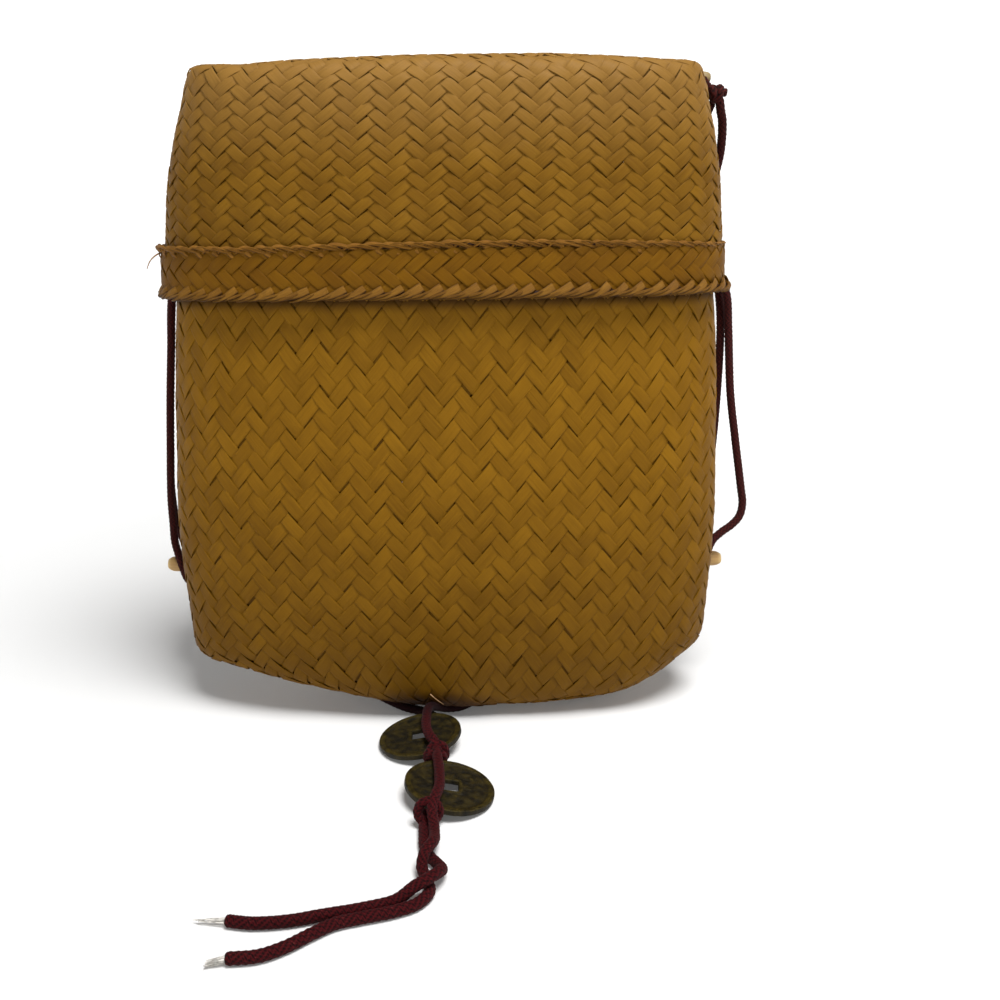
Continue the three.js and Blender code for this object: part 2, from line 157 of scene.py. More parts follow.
# Where the tail cords leave the base, and the half sizes of the painted shade there, in metres.
CORD_HOLE, CORD_HOLE_SHADE = (-0.007, -0.024, 0.0), (0.029, 0.016, 0.0125)
LOWER_STICK = dict(d=5.4, left=-98.4, right=96.4, y=12, z=42.6)
UPPER_STICK = dict(d=3.6, left=-74.4, right=81, y=4, z=199.4)
COIN = dict(r=13, hole=2.6, field=0.55)
# Rims of a coin: share of the way from the hole to the outer edge, height.
COIN_INNER_RIM = ((0, 0.62), (0.02, 0.74), (0.1, 0.74), (0.14, 0.55))
COIN_OUTER_RIM = ((0.81, 0.55), (0.845, 0.8), (0.97, 0.82), (0.993, 0.74), (1, 0.6))
# Waves of the worn relief: number round, waves outwards. Its depth in the field and on the rims.
COIN_RELIEF = ((5, 1.1), (9, 1.7), (14, 2.3), (21, 0.9), (8, 3.1), (17, 2.7))
FIELD_WEAR, RIM_WEAR = 0.42, 0.06
# Name, middle, and lean about the y axis.
COINS = (("coin_upper", -9.1, -40.8, 3.3, -10), ("coin_lower", -0.1, -70.2, 3.3, 10))

RIGHT_STRAP = [
    (83.2, 3.2, 194.6), (84.3, 3.5, 192.4), (84.8, 4.2, 190.6), (86.2, 6.4, 187), (87.2, 10.2, 179),
    (86.7, 13.8, 171), (85.4, 17, 161), (86.8, 18.8, 150), (91, 18, 141), (93.9, 17, 134),
    (95.2, 16.8, 123), (97, 15.4, 101), (99.2, 14, 86), (101.8, 12, 69), (102.6, 11.2, 62.8),
    (101.6, 10.4, 58.6), (98.8, 9.3, 55.8), (95.2, 8.2, 53.6), (92.2, 7.2, 51.2), (90.5, 6.5, 47.8),
    (89.8, 6.2, 43.4), (89.5, 7, 39.6), (89.3, 9.4, 37), (89.2, 12.6, 36.6), (89.4, 16, 38.4),
    (89.8, 17.8, 42.8), (90.6, 18.2, 52), (92.2, 19.4, 68), (93.6, 20, 92), (93.2, 20, 126),
    (91.6, 21.6, 138), (88, 24, 150), (84, 24, 164), (82.2, 19.6, 176), (81.8, 13, 185),
    (81.9, 8.4, 189.8), (82.4, 5.6, 192.6),
]
LEFT_STRAP = [
    (-73.6, 13.3, 195.2), (-78.4, 14.4, 190.5), (-80.8, 15, 181), (-84, 16, 168), (-87.4, 16.2, 152),
    (-90.4, 15.2, 134), (-92, 15, 118), (-93.7, 15, 101), (-95.2, 15, 83), (-96.4, 14.8, 66),
    (-96.4, 14.6, 57), (-95.9, 12.8, 51), (-94.1, 9.4, 47.2), (-92.2, 6.6, 43.4), (-91.2, 7, 39.4),
    (-90.7, 9.5, 36.9), (-90.8, 12.8, 36.4), (-91.2, 16.2, 38.2), (-92.4, 18, 42.4),
    (-94.6, 18.8, 49.4), (-96.8, 19, 59), (-97.2, 19, 70), (-96.3, 19, 83), (-94.8, 19, 101),
    (-93.1, 19.2, 118), (-91.6, 19.4, 134), (-87.6, 20.6, 152), (-82.6, 20.6, 168), (-77.4, 20.2, 182),
    (-74.2, 19.4, 190), (-69.6, 17.6, 194),
]
LOW_TAIL = [
    (-36, -3, 8), (-30, -8.2, 5.2), (-22, -13.8, 2.9), (-14.5, -18.6, 1.7), (-8.4, -21.8, 1.55),
    (-4.8, -25.6, 1.55), (-3.9, -31, 1.55), (-3.8, -41, 1.55), (-3.8, -54.6, 1.55), (-5.4, -62, 1.55),
    (-5.8, -70, 1.55), (-6.4, -79, 1.55), (-7.1, -85, 1.55), (-7, -90, 1.55), (-6.8, -95, 1.55),
    (-5.4, -99.5, 1.55), (-3.4, -103, 1.8), (-2.2, -106.5, 2.8), (-3, -109.9, 4.4), (-5.4, -113, 5),
    (-9, -114.8, 3.9), (-13.2, -116.8, 1.8), (-21, -119.4, 1.55), (-30.2, -121.6, 1.55),
    (-38.4, -123.6, 1.55), (-46.6, -124.2, 1.55), (-53, -123.2, 1.55),
]
HIGH_TAIL = [
    (17, -7.4, 7.6), (12.4, -12.2, 4.4), (7.8, -16.2, 2.4), (3.2, -19, 1.8), (-1, -21.2, 2.7),
    (-4.2, -24.2, 4.8), (-6.2, -27.8, 6.5), (-7, -32, 7), (-7.2, -36.4, 7), (-7.2, -41, 6.9),
    (-6.2, -46.6, 7), (-4.6, -51, 7.2), (-3.8, -54.2, 6.3), (-3.7, -57, 6.4), (-3.6, -59.6, 6.9),
    (-3.2, -64, 7), (-2.9, -70.7, 7), (-3, -76, 7.1), (-4, -80.8, 7.3), (-4.9, -84.8, 6),
    (-4.4, -88.4, 3.6), (-4.2, -92, 3.1), (-4.2, -95.6, 3.9), (-5, -99.4, 5.1), (-6.6, -102.6, 4.7),
    (-7.2, -105.6, 2.8), (-5.8, -109.6, 1.6), (-5.2, -113.4, 1.55), (-8, -117.8, 1.55),
    (-13, -120.4, 1.55), (-21.2, -122.8, 1.55), (-27.2, -124.7, 1.55), (-32.4, -128.2, 1.55),
    (-37.6, -132.2, 1.55), (-43.2, -135, 1.55), (-50.5, -135.8, 1.55),
]

# Windings of the knots: middle, axis, side, radii, turns, advance, start.
COIN_KNOTS = (
    ("coin_knot_upper", (
        ((-3.6, -53.4, 4.5), (0.4, 1, -0.15), (1, 0, 0), (2.3, 3.0), 1.15, 1.2, 0.6),
        ((-4.2, -55.8, 4.3), (-0.55, 1, 0.3), (1, 0, 0), (2.3, 2.9), 1.15, 1.4, 3.4),
    )),
    ("coin_knot_lower", (
        ((-5.9, -83.8, 4.4), (0.2, 1, -0.25), (1, 0, 0), (2.9, 2.9), 1.15, 1.6, 0.4),
    )),
)
STRAP_KNOT_COILS = (
    ((82.2, 4, 194.8), (1, 0, 0.3), (0, 1, 0), (1.75, 1.6), 1.2, 1.0, 0.5),
    ((83.6, 4, 194.8), (1, 0, -0.25), (0, 1, 0), (1.8, 1.65), 1.2, 1.0, 3.6),
)
# The cut stub, and the turn that goes up to the stick.
STRAP_KNOT_ENDS = (
    ((83, 3.4, 194.8), (84.6, 3.2, 195.2), (86.2, 3, 195)),
    ((83, 3.6, 195), (81.2, 3.2, 196), (79.4, 2.2, 197.4), (78, 1.2, 199)),
)
# Frayed cores: name, start, tip, spread at each, strands.
CORES = (
    ("frayed_core_a", (-53.1, -123.1, 1.55), (-61.4, -122.4, 1.0), 0.7, 0.25, 8),
    ("frayed_core_b", (-50.6, -135.84, 1.55), (-55.2, -137, 1.2), 1.0, 0.85, 16),
)

# Colours of each finish in sRGB, from 0 to 255, in the order that its function names them.
# The darkest colour of a bamboo, plait or cord finish also serves as its painted shade.
TONES = {
    "base_bamboo": ((128, 89, 12), (103, 69, 5), (38, 17, 2)),
    # The lid's last colour is the painted highlight on its top.
    "lid_bamboo": ((121, 85, 18), (95, 63, 8), (38, 17, 2), (141, 106, 55)),
    "band_bamboo": ((112, 75, 5), (89, 56, 3), (36, 15, 2)),
    "rim_straw": ((132, 92, 25), (98, 62, 11), (34, 13, 3)),
    "braid_straw": ((150, 104, 34), (112, 70, 14), (40, 16, 3)),
    "stick_wood": ((196, 160, 98), (138, 98, 48), (206, 178, 122)),
    "grey_stick_wood": ((148, 126, 80), (98, 78, 42), (128, 110, 72)),
    "maroon_cord": ((15, 1, 2), (67, 8, 12), (144, 80, 76)),
    "dark_cord": ((19, 5, 5), (68, 22, 19), (128, 84, 74)),
    "old_brass": ((80, 68, 24), (46, 38, 10), (14, 11, 3)),
    "pale_core": ((226, 222, 214), (150, 146, 140)),
    "pale_splinter": ((178, 142, 102), (140, 104, 70)),
}
STRIP_SHINE, PLAIT_SHINE, CORD_SHINE, COIN_SHINE, CORD_FUZZ = 0.07, 0.14, 0.1, 0.2, 0.02
# How much the base is darkened low down, as painted shade.
BASE_LOW_SHADE = 0.32
# Heights in metres: where the lid's top is painted paler as a highlight, where the painted shade under its
# rim falls on the base, where the base is painted darker low down as shade.
LID_HIGHLIGHT, RIM_SHADE, LOW_SHADE_SPAN = (0.168, 0.206), (0.1325, 0.1372), (0.01, 0.11)

# The camera and the light, in metres and degrees.
CAMERA = dict(
    place=(0, -0.322, 0.1608), pitch=74, roll=-0.6, sensor=36, lens=36, shift=0.0532, clip=(0.01, 50),
)
LIGHT = dict(place=(0.22, -0.34, 1.1), target=(0, -0.02, 0.08), size=0.55, power=17)
WORLD_LIGHT = 0.06
FLOOR_TINT = (0.74, 0.74, 0.735, 1)
# Glow of the floor: strength, colour near the object and far off, and where it changes, in metres.
FLOOR_GLOW = dict(strength=0.62, near=(0.1, 0.1, 0.1, 1), far=(1, 1, 1, 1), span=(0.16, 0.55))
# The floor: radius of its flat part, radius of the bend at its edge, height of its wall, and drop.
FLOOR = dict(flat=2000, bend=500, top=1300, drop=0.02)


class Wire:
    """A shader value that Python's operators work on: each operator adds a Math node."""

    def __init__(self, finish, socket):
        self.finish, self.socket = finish, socket

    def math(self, operation, *others):
        values = dict(enumerate((self, *others)))
        return self.finish.node("ShaderNodeMath", {"operation": operation}, values)

    def __add__(self, other):
        return self.math("ADD", other)

    def __sub__(self, other):
        return self.math("SUBTRACT", other)

    def __rsub__(self, other):
        return self.finish.node("ShaderNodeMath", {"operation": "SUBTRACT"}, {0: other, 1: self})

    def __mul__(self, other):
        return self.math("MULTIPLY", other)

    def __pow__(self, other):
        return self.math("POWER", other)

    def __abs__(self):
        return self.math("ABSOLUTE")

    __radd__, __rmul__ = __add__, __mul__

    def sin(self):
        return self.math("SINE")

    def bigger(self, other):
        return self.math("MAXIMUM", other)

    def ramp(self, low, high):
        """0 below low, 1 above high, smooth between."""
        settings = {"interpolation_type": "SMOOTHSTEP"}
        values = {"Value": self, "From Min": low, "From Max": high}
        return self.finish.node("ShaderNodeMapRange", settings, values)


class Finish:
    """One material: its nodes, and what its shader shows."""

    def __init__(self, name):
        self.material = bpy.data.materials.new(name)
        self.material.use_nodes = True
        self.tree = self.material.node_tree
        self.shader = self.tree.nodes["Principled BSDF"]

    def node(self, kind, settings=None, values=None, out=0):
        node = self.tree.nodes.new(kind)
        for key, value in (settings or {}).items():
            setattr(node, key, value)
        for key, value in (values or {}).items():
            self.feed(node.inputs[key], value)
        return Wire(self, node.outputs[out])

    def feed(self, socket, value):
        if isinstance(value, Wire):
            self.tree.links.new(value.socket, socket)
        else:
            socket.default_value = value

    def value(self, name):
        return self.node("ShaderNodeAttribute", {"attribute_name": name}, out=2)

    def place(self):
        """Where a point is on the object, in metres."""
        return self.node("ShaderNodeTexCoord", out=3)

    def height(self, place):
        return self.node("ShaderNodeSeparateXYZ", values={0: place}, out=2)

    def length(self, vector):
        return self.node("ShaderNodeVectorMath", {"operation": "LENGTH"}, {0: vector}, out=1)

    def spot(self, x, y, z):
        return self.node("ShaderNodeCombineXYZ", values={0: x, 1: y, 2: z})

    def noise(self, place, scale, detail):
        return self.node("ShaderNodeTexNoise", values={"Vector": place, "Scale": scale, "Detail": detail})

    def mix(self, share, a, b):
        return self.node("ShaderNodeMix", {"data_type": "RGBA"}, {0: share, 6: a, 7: b}, out=2)

    def set(self, socket, number):
        self.shader.inputs[socket].default_value = number

    def show(self, bump=None, bump_depth=0.1, **sockets):
        for key, value in sockets.items():
            self.feed(self.shader.inputs[key.replace("_", " ")], value)
        if bump is not None:
            values = {"Height": bump, "Strength": 1.0, "Distance": bump_depth * MM}
            self.feed(self.shader.inputs["Normal"], self.node("ShaderNodeBump", values=values))
        return self.material


def colour(red, green, blue):
    """An sRGB colour of 0 to 255 as the linear one that a shader takes."""
    shares = (c / 255 for c in (red, green, blue))
    return (*(c / 12.92 if c < 0.04045 else ((c + 0.055) / 1.055) ** 2.4 for c in shares), 1.0)


def tones(name):
    return [colour(*tone) for tone in TONES[name]]


def bamboo_finish(name, low_shade=0.0):
    """Split bamboo: tone by strip, fibres along it, stains across it, and painted shade where it dips and
    along its edges.
    """
    f = Finish(name)
    pale, deep, crease, *top_highlight = tones(name)
    along, across, tone, lift = (f.value(v) for v in ("along", "across", "tone", "lift"))
    place = f.place()
    fibre = f.noise(f.spot(along * 0.05, across * 5 + tone * 91, tone * 37), 1.0, 4.0)
    patch = f.noise(f.spot(along * 0.11, tone * 53, across * 0.4), 1.0, 2.0)
    stain = f.noise(place, 75.0, 3.0)
    fleck = f.noise(f.spot(along * 0.9, across * 3, tone * 71), 1.3, 2.0).ramp(0.66, 0.8)
    share = tone * 0.4 + fibre * 0.8 + patch * 0.4 + stain * 0.6 - 0.62
    skin = f.mix(share.ramp(0.0, 1.0), deep, pale)
    skin = f.mix(fleck * 0.15, skin, crease)
    # Painted shade where a strip dips under the next one, in patches.
    dip_shade = (1 - lift.ramp(-0.5, 0.3)) * stain.ramp(0.3, 0.7) * 0.5
    # Painted shade along the strips' edges, in patches.
    edge = (abs(across) ** 14) * patch.ramp(0.35, 0.7) * 0.2
    skin = f.mix(dip_shade.bigger(edge), skin, crease)
    # Painted highlight: the lid is paler towards its top, where the top light falls.
    if top_highlight:
        skin = f.mix(f.height(place).ramp(*LID_HIGHLIGHT) * (fibre * 0.4 + 0.4), skin, top_highlight[0])
    # Painted shade on the base: low down, under the lid's rim, and where the tail cords come out.
    if low_shade:
        skin = shade_low_parts(f, skin, place, patch, crease, low_shade)
    rough = fibre * 0.3 + 0.4
    f.set("Specular IOR Level", STRIP_SHINE)
    return f.show(Base_Color=skin, Roughness=rough, bump=fibre + fleck * 0.4, bump_depth=0.12)


def shade_low_parts(f, skin, place, patch, crease, low_shade):
    """Painted shade: darker low down, under the lid's rim, and where the tail cords come out."""
    height = f.height(place)
    skin = f.mix((1 - (height + patch * 0.02).ramp(*LOW_SHADE_SPAN)) * low_shade, skin, crease)
    skin = f.mix(height.ramp(*RIM_SHADE) * 0.85, skin, crease)
    return f.mix((1 - (hole_distance(f, place) + patch * 0.3).ramp(0.65, 1.25)) * 0.93, skin, crease)


def hole_distance(f, place):
    """How far a place is from the cords' way out: 1 where its shade ends."""
    apart = f.node("ShaderNodeVectorMath", {"operation": "SUBTRACT"}, {0: place, 1: CORD_HOLE})
    apart = f.node("ShaderNodeVectorMath", {"operation": "DIVIDE"}, {0: apart, 1: CORD_HOLE_SHADE})
    return f.length(apart)


def rope_finish(name):
    """Twisted bamboo fibre: finer streaks, and painted shade between the strands, darkest under their lower
    edges.
    """
    f = Finish(name)
    pale, deep, crease = tones(name)
    along, across, tone = (f.value(v) for v in ("along", "across", "tone"))
    fibre = f.noise(f.spot(along * 0.3, across * 9, tone * 47), 1.0, 4.0)
    share = fibre * 1.1 + tone * 0.45 - 0.28
    skin = f.mix(share.ramp(0.0, 1.0), deep, pale)
    # Painted shade at the strands' edges, darkest along the lower edge.
    skin = f.mix((abs(across) ** 5 * 0.4).bigger((0 - across).ramp(0.3, 1.0) * 0.8), skin, crease)
    f.set("Specular IOR Level", PLAIT_SHINE)
    return f.show(Base_Color=skin, Roughness=fibre * 0.2 + 0.5, bump=fibre, bump_depth=0.35)


def cord_finish(name):
    """Braided cord: painted shade between the stitches, a few paler threads, and painted shade where it
    leaves the base.
    """
    f = Finish(name)
    deep, mid, pale = tones(name)
    along, across, lift = (f.value(v) for v in ("along", "across", "lift"))
    thread = f.noise(f.spot(along * 2.2, across * 14, 0.0), 1.0, 3.0)
    worn = f.noise(f.spot(along * 0.35, across * 1.5, 4.0), 1.0, 2.0)
    # Painted shade down between the stitches.
    skin = f.mix(lift.ramp(0.25, 1.0), deep, mid)
    speck = thread.ramp(0.58, 0.74) * lift.ramp(0.5, 1.0) * worn.ramp(0.35, 0.7)
    skin = f.mix(speck * 0.65, skin, pale)
    # Painted shade where the cords leave the base.
    skin = f.mix((1 - hole_distance(f, f.place()).ramp(0.6, 1.3)) * 0.88, skin, deep)
    f.set("Sheen Weight", CORD_FUZZ)
    f.set("Specular IOR Level", CORD_SHINE)
    return f.show(Base_Color=skin, Roughness=thread * 0.15 + 0.75, bump=thread, bump_depth=0.2)


def coin_finish(name):
    """Old cast brass: brown in the field, worn brighter on the rims, soil in the hollows."""
    f = Finish(name)
    worn, field, soil = tones(name)
    high, around, out = (f.value(v) for v in ("lift", "along", "across"))
    place = f.spot(out * around.sin(), out * (around + math.pi / 2).sin(), high * 0.2)
    mottle = f.noise(place, 0.34, 5.0)
    grain = f.noise(place, 3.2, 4.0)
    skin = f.mix(mottle.ramp(0.35, 0.68), soil, field)
    bright = high.ramp(0.3, 1.0) * grain.ramp(0.35, 0.62) * mottle.ramp(0.25, 0.6) * 0.75
    skin = f.mix(bright, skin, worn)
    rough = 0.5 + grain * 0.25 - high * 0.1
    metal = 0.1 + high * 0.25
    cast = grain + mottle * 0.6
    f.set("Specular IOR Level", COIN_SHINE)
    return f.show(Base_Color=skin, Roughness=rough, Metallic=metal, bump=cast, bump_depth=0.22)


def stick_finish(name):
    """Peeled bamboo: fibres along it, patches, and paler pith at the cut ends."""
    f = Finish(name)
    pale, deep, pith = tones(name)
    along, across, cut = (f.value(v) for v in ("along", "across", "lift"))
    fibre = f.noise(f.spot(along * 0.12, across * 8, 2.0), 1.0, 4.0)
    patch = f.noise(f.spot(along * 0.2, across * 0.8, 9.0), 1.0, 2.0)
    skin = f.mix((fibre * 0.9 + patch * 0.7 - 0.35).ramp(0.0, 1.0), deep, pale)
    skin = f.mix(cut * 0.8, skin, pith)
    return f.show(Base_Color=skin, Roughness=fibre * 0.25 + 0.45, bump=fibre, bump_depth=0.15)


def core_finish(name):
    """Loose fibre: streaks along each strand."""
    f = Finish(name)
    pale, grey = tones(name)
    along, tone = f.value("along"), f.value("tone")
    streak = f.noise(f.spot(along * 0.6, tone * 40, 0.0), 1.0, 2.0)
    return f.show(Base_Color=f.mix(streak.ramp(0.3, 0.7), grey, pale), Roughness=0.85)


def floor_finish(name):
    """A plain pale floor that glows a little, and more so away from the object."""
    f = Finish(name)
    cloud = f.noise(f.place(), 3.0, 2.0)
    skin = f.mix(cloud, FLOOR_TINT, tuple(min(1.0, c * 1.02) for c in FLOOR_TINT))
    away = f.length(f.place()).ramp(*FLOOR_GLOW["span"])
    glow = f.mix(away, FLOOR_GLOW["near"], FLOOR_GLOW["far"])
    f.set("Emission Strength", FLOOR_GLOW["strength"])
    return f.show(Base_Color=skin, Roughness=0.95, Emission_Color=glow)


class Bundle:
    """Swept forms that make one piece: rings of points, and values for the finish at each point."""

    def __init__(self):
        self.points, self.quads, self.values, self.size = [], [], {}, 0

    def add(self, rings, closed=False, caps=True, **values):
        count, sides = rings.shape[:2]
        first = np.arange(count if closed else count - 1)[:, None] * sides
        a = np.arange(sides)[None, :]
        b = (a + 1) % sides
        after = (first + sides) % (count * sides)
        parts = [np.stack([first + a, first + b, after + b, after + a], 2).reshape(-1, 4)]
        if caps and not closed:
            k = np.arange(sides // 2 - 1)
            cap = np.stack([k, k + 1, sides - 2 - k, sides - 1 - k], 1)
            parts += [cap[:, ::-1], cap + (count - 1) * sides]
        self.quads.append(np.concatenate(parts) + self.size)
        self.points.append(rings.reshape(-1, 3))
        self.size += count * sides
        for name, value in values.items():
            spread = np.broadcast_to(np.asarray(value, float), (count, sides))
            self.values.setdefault(name, []).append(spread.reshape(-1))

    def piece(self, name, material, slot=None, nodes=()):
        points, quads = np.concatenate(self.points) * MM, np.concatenate(self.quads)
        mesh = bpy.data.meshes.new(name)
        mesh.vertices.add(len(points))
        mesh.vertices.foreach_set("co", points.astype(np.float32).ravel())
        mesh.loops.add(quads.size)
        mesh.loops.foreach_set("vertex_index", quads.astype(np.int32).ravel())
        mesh.polygons.add(len(quads))
        mesh.polygons.foreach_set("loop_start", np.arange(0, quads.size, 4, dtype=np.int32))
        mesh.polygons.foreach_set("use_smooth", np.ones(len(quads), bool))
        mesh.update(calc_edges=True)
        for key, value in self.values.items():
            layer = mesh.attributes.new(key, "FLOAT", "POINT")
            layer.data.foreach_set("value", np.concatenate(value).astype(np.float32))
        mesh.materials.append(material)
        piece = bpy.data.objects.new(name, mesh)
        bpy.context.scene.collection.objects.link(piece)
        if slot:
            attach(piece, "root")
            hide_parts(*nodes)
        return piece


def unit(vectors):
    return vectors / np.maximum(np.linalg.norm(vectors, axis=-1, keepdims=True), 1e-9)


def lengths(points):
    """Length along a line up to each of its points."""
    return np.concatenate([[0], np.cumsum(np.linalg.norm(np.diff(points, axis=0), axis=1))])


def angles(count):
    """Even angles round a full turn."""
    return np.arange(count) / count * 2 * np.pi


def outline(a, b, n, count=360):
    """Points evenly spaced round a rounded outline, from the middle of the front towards +X."""
    angle = -np.pi / 2 + np.linspace(0, 2 * np.pi, 2881)
    c, s = np.cos(angle), np.sin(angle)
    x, y = a * np.sign(c) * np.abs(c) ** (2 / n), b * np.sign(s) * np.abs(s) ** (2 / n)
    length = lengths(np.stack([x, y], 1))
    want = np.arange(count) / count * length[-1]
    return np.stack([np.interp(want, length, x), np.interp(want, length, y)], 1)


def level(section, z):
    ring = outline(*section[:3])
    ring[:, 0] += section[3] if len(section) > 3 else 0
    return np.column_stack([ring, np.full(len(ring), z)])


def wall_rings(rows, heights):
    """Level rings of a table of rows, with the corners between the rows eased."""
    rings = []
    for z in heights:
        near = np.clip(z + np.array([-5, -2.5, 0, 2.5, 5]), rows[0, 0], rows[-1, 0])
        a, b, n = (np.interp(near, rows[:, 0], rows[:, k]).mean() for k in (1, 2, 3))
        rings.append(level((a, b, n), z))
    return rings


def roll_rings(wall, wall_z, edge, edge_z, lift, flat, flat_z, shares, left_pinch, fold=0.0):
    """Rings that curve from a wall over an edge to a flat patch, sharper at the two narrow ends."""
    start, over, stop = level(wall, wall_z), level(edge, edge_z), level(flat, flat_z)
    end = (over[:, :1] / edge[0]) ** 2
    over[:, 2:] += lift * end
    pinch = np.where(over[:, :1] < 0, left_pinch, END_PINCH)
    weight = 1 + pinch * end**2 + fold * (1 - end) ** 2
    rings = []
    for t in shares:
        w0, w1, w2 = (1 - t) ** 2, 2 * weight * t * (1 - t), t**2
        rings.append((start * w0 + over * w1 + stop * w2) / (w0 + w1 + w2))
    return rings


def sag(rings, sags, start, full):
    """Raise or lower rings by a table of place across and rise, more from one height to the other."""
    for ring in rings:
        share = np.clip((ring[:, 2] - start) / (full - start), 0, 1)
        ring[:, 2] += np.interp(ring[:, 0], *np.array(sags).T) * share * share * (3 - 2 * share)
    return rings


class Skin:
    """A smooth form over closed rings, read by the turn round it and the length along it."""

    def __init__(self, rings, swell):
        self.rings = np.array(rings)
        steps = np.linalg.norm(np.diff(self.rings, axis=0), axis=2).mean(1)
        self.rows = np.concatenate([[0], np.cumsum(steps)])
        around = np.roll(self.rings, -1, 1) - np.roll(self.rings, 1, 1)
        self.normals = unit(np.cross(around, np.gradient(self.rings, axis=0)))
        middle = len(self.rings) // 4
        if (self.normals[middle] * self.rings[middle] * (1, 1, 0)).sum() < 0:
            self.normals = -self.normals
        turn = angles(self.rings.shape[1])[None, :]
        row = self.rows[:, None]
        sway = sum(np.sin(waves * turn + row / length + phase) for waves, length, phase in UNEVEN)
        self.rings = self.rings + self.normals * (swell * sway / len(UNEVEN))[:, :, None]

    def at(self, turn, along):
        rows, cols = self.rings.shape[:2]
        r = np.interp(along, self.rows, np.arange(rows))
        c = (np.asarray(turn) % 1) * cols
        r0, c0 = np.minimum(r.astype(int), rows - 2), c.astype(int) % cols
        fr, fc, c1 = (r - r0)[..., None], (c % 1)[..., None], (c0 + 1) % cols

        def blend(grid):
            low = grid[r0, c0] * (1 - fc) + grid[r0, c1] * fc
            return low * (1 - fr) + (grid[r0 + 1, c0] * (1 - fc) + grid[r0 + 1, c1] * fc) * fr

        return blend(self.rings), unit(blend(self.normals))


class Lifted:
    """A form read from a height of its own, upwards or downwards along it."""

    def __init__(self, skin, height, way=1):
        self.skin, self.height, self.way = skin, height, way

    def at(self, turn, along):
        return self.skin.at(turn, self.way * along + self.height)


def strip_places(low, high, start):
    """Places along a strip from low to high and its height there, if it first goes over at start."""
    turns = np.arange(math.floor((low - start) / REPEAT) - 1, math.ceil((high - start) / REPEAT) + 1)
    place = (start + REPEAT * turns[:, None] + OVER_UNDER[None, :, 0]).ravel()
    lift = np.tile(OVER_UNDER[:, 1], len(turns))
    inside = (place > low + LEAST_STEP) & (place < high - LEAST_STEP)
    places = np.concatenate([[low], place[inside], [high]])
    return places, np.interp(places, place, lift)


def lay_strip(bundle, left, right, normal, lift, net, tone):
    """One flat strip between its two edges, raised and lowered along its length."""
    half = (right - left) / 2
    middle = (right + left) / 2 + normal * (lift * net["bow"] - net["sink"])[:, None]
    up = normal * net["thick"]
    rings = middle[:, None] + half[:, None] * STRIP[None, :, :1] + up[:, None] * STRIP[None, :, 1:]
    along = lengths(middle)
    spot = rng.random() * 400
    bundle.add(rings, along=along[:, None] + spot, across=STRIP[None, :, 0], tone=tone, lift=lift[:, None])


def weave(bundle, skin, net, falling, low, high, rows=False, loose=None, tucked=None):
    """All strips of one direction round a form: columns of over and under, or rows of them."""
    count, rise = net["count"], net["rise"]
    for k in range(count):
        mid = k + 0.5 + rng.uniform(-0.05, 0.05)
        if falling:
            start = k + 1 if rows else -k
            places, lift = strip_places(mid - 2 * high / rise, mid - 2 * low / rise, start)
        else:
            start = k if rows else 2 - k
            places, lift = strip_places(mid + 2 * low / rise, mid + 2 * high / rise, start)
        stretch = np.floor((places - start) / 2 + 1e-6).astype(int)
        stretch -= stretch.min()
        bulge, shade = rng.uniform(0.7, 1.25, stretch.max() + 1), rng.random(stretch.max() + 1)
        lift = lift * bulge[stretch]
        if tucked is not None:
            height = (mid - places if falling else places - mid) / 2 * rise
            share = np.clip(1 - np.abs(height - tucked) / TUCK, 0, 1) ** 2
            lift = lift * (1 - share) - share
        tone = 0.55 * rng.random() + 0.45 * shade[stretch]
        sway = 0.05 * np.sin(places * rng.uniform(0.25, 0.5) + rng.uniform(0, 6.3))
        width = 0.5 * net["fill"] * rng.uniform(0.96, 1.02)
        half = width * (1 + 0.04 * np.sin(places * 0.7 + rng.uniform(0, 6.3)))
        edges = []
        for side in (-half, half) if falling else (half, -half):
            p, q = (mid + sway + side, places) if falling else (places, mid + sway + side)
            edges.append(skin.at((p + q + net["shift"]) / (2 * count), (p - q) / 2 * rise))
        (left, normal), (right, other) = edges
        if loose is not None:
            middle = (left + right) / 2
            share = loose(middle)[:, None]
            left, right = (edge + (middle - edge) * share * 0.3 for edge in (left, right))
            lift = lift * (1 + share[:, 0])
        lay_strip(bundle, left, right, unit(normal + other), lift, net, tone[:, None])


